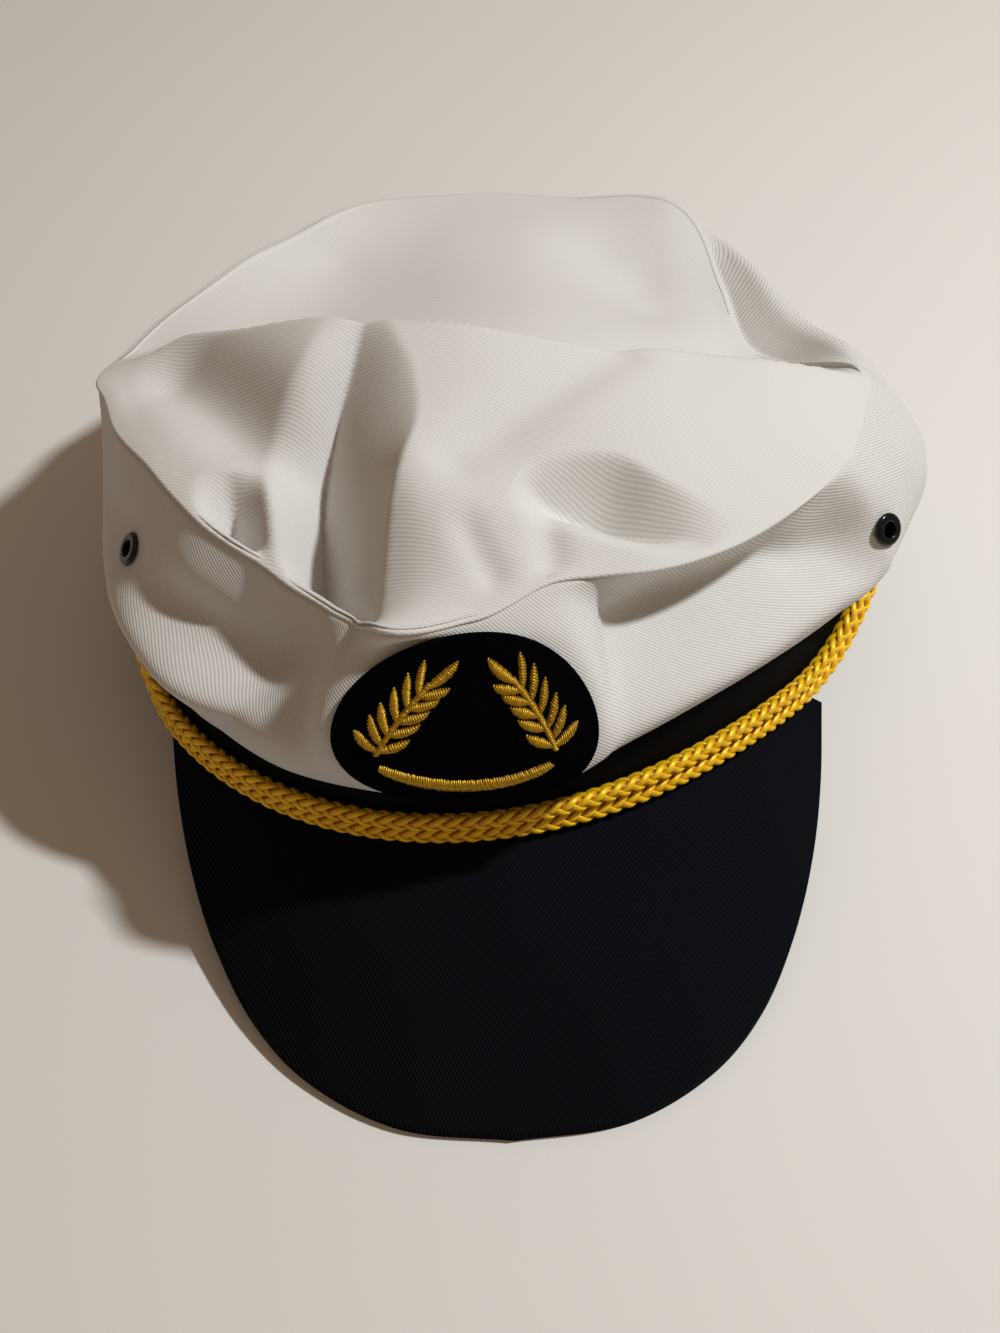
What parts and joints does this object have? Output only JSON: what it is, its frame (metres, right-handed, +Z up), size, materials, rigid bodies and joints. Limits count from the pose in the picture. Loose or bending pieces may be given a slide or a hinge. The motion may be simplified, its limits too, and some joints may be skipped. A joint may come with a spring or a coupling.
{
  "type": "sailor cap",
  "caption": "Soft white cloth sailor cap lying slumped, with a black band and peak, golden braided cord, side eyelets and an oval felt badge with gold laurels.",
  "frame": {"origin": "on the surface that the cap rests on, under the middle of its bounding box", "axes": "+Z up, -Y towards the front of the cap where the peak and badge are, +Y towards its back, +X to the right as seen from in front of the cap"},
  "size_m": [0.2027, 0.259, 0.1018],
  "materials": {
    "crown_top_twill": "white cotton twill, matte",
    "crown_side_twill": "white cotton twill, matte",
    "band_cloth": "black cotton, matte",
    "peak_twill": "black cotton twill over a stiff sheet, matte",
    "cord_braid": "golden-yellow braided rayon, satin",
    "eyelet_enamel": "black enamel, glossy",
    "badge_felt": "black felt, matte",
    "gold_thread": "gold satin stitch, satin"
  },
  "bodies": {
    "root": {"crown_top": "crown_top_twill", "crown_side": "crown_side_twill", "band": "band_cloth", "peak": "peak_twill", "cord_lower": "cord_braid", "cord_upper": "cord_braid", "eyelet_left": "eyelet_enamel", "eyelet_right": "eyelet_enamel", "badge": "badge_felt", "laurel_left": "gold_thread", "laurel_right": "gold_thread", "badge_bar": "gold_thread"}
  },
  "joints": []
}
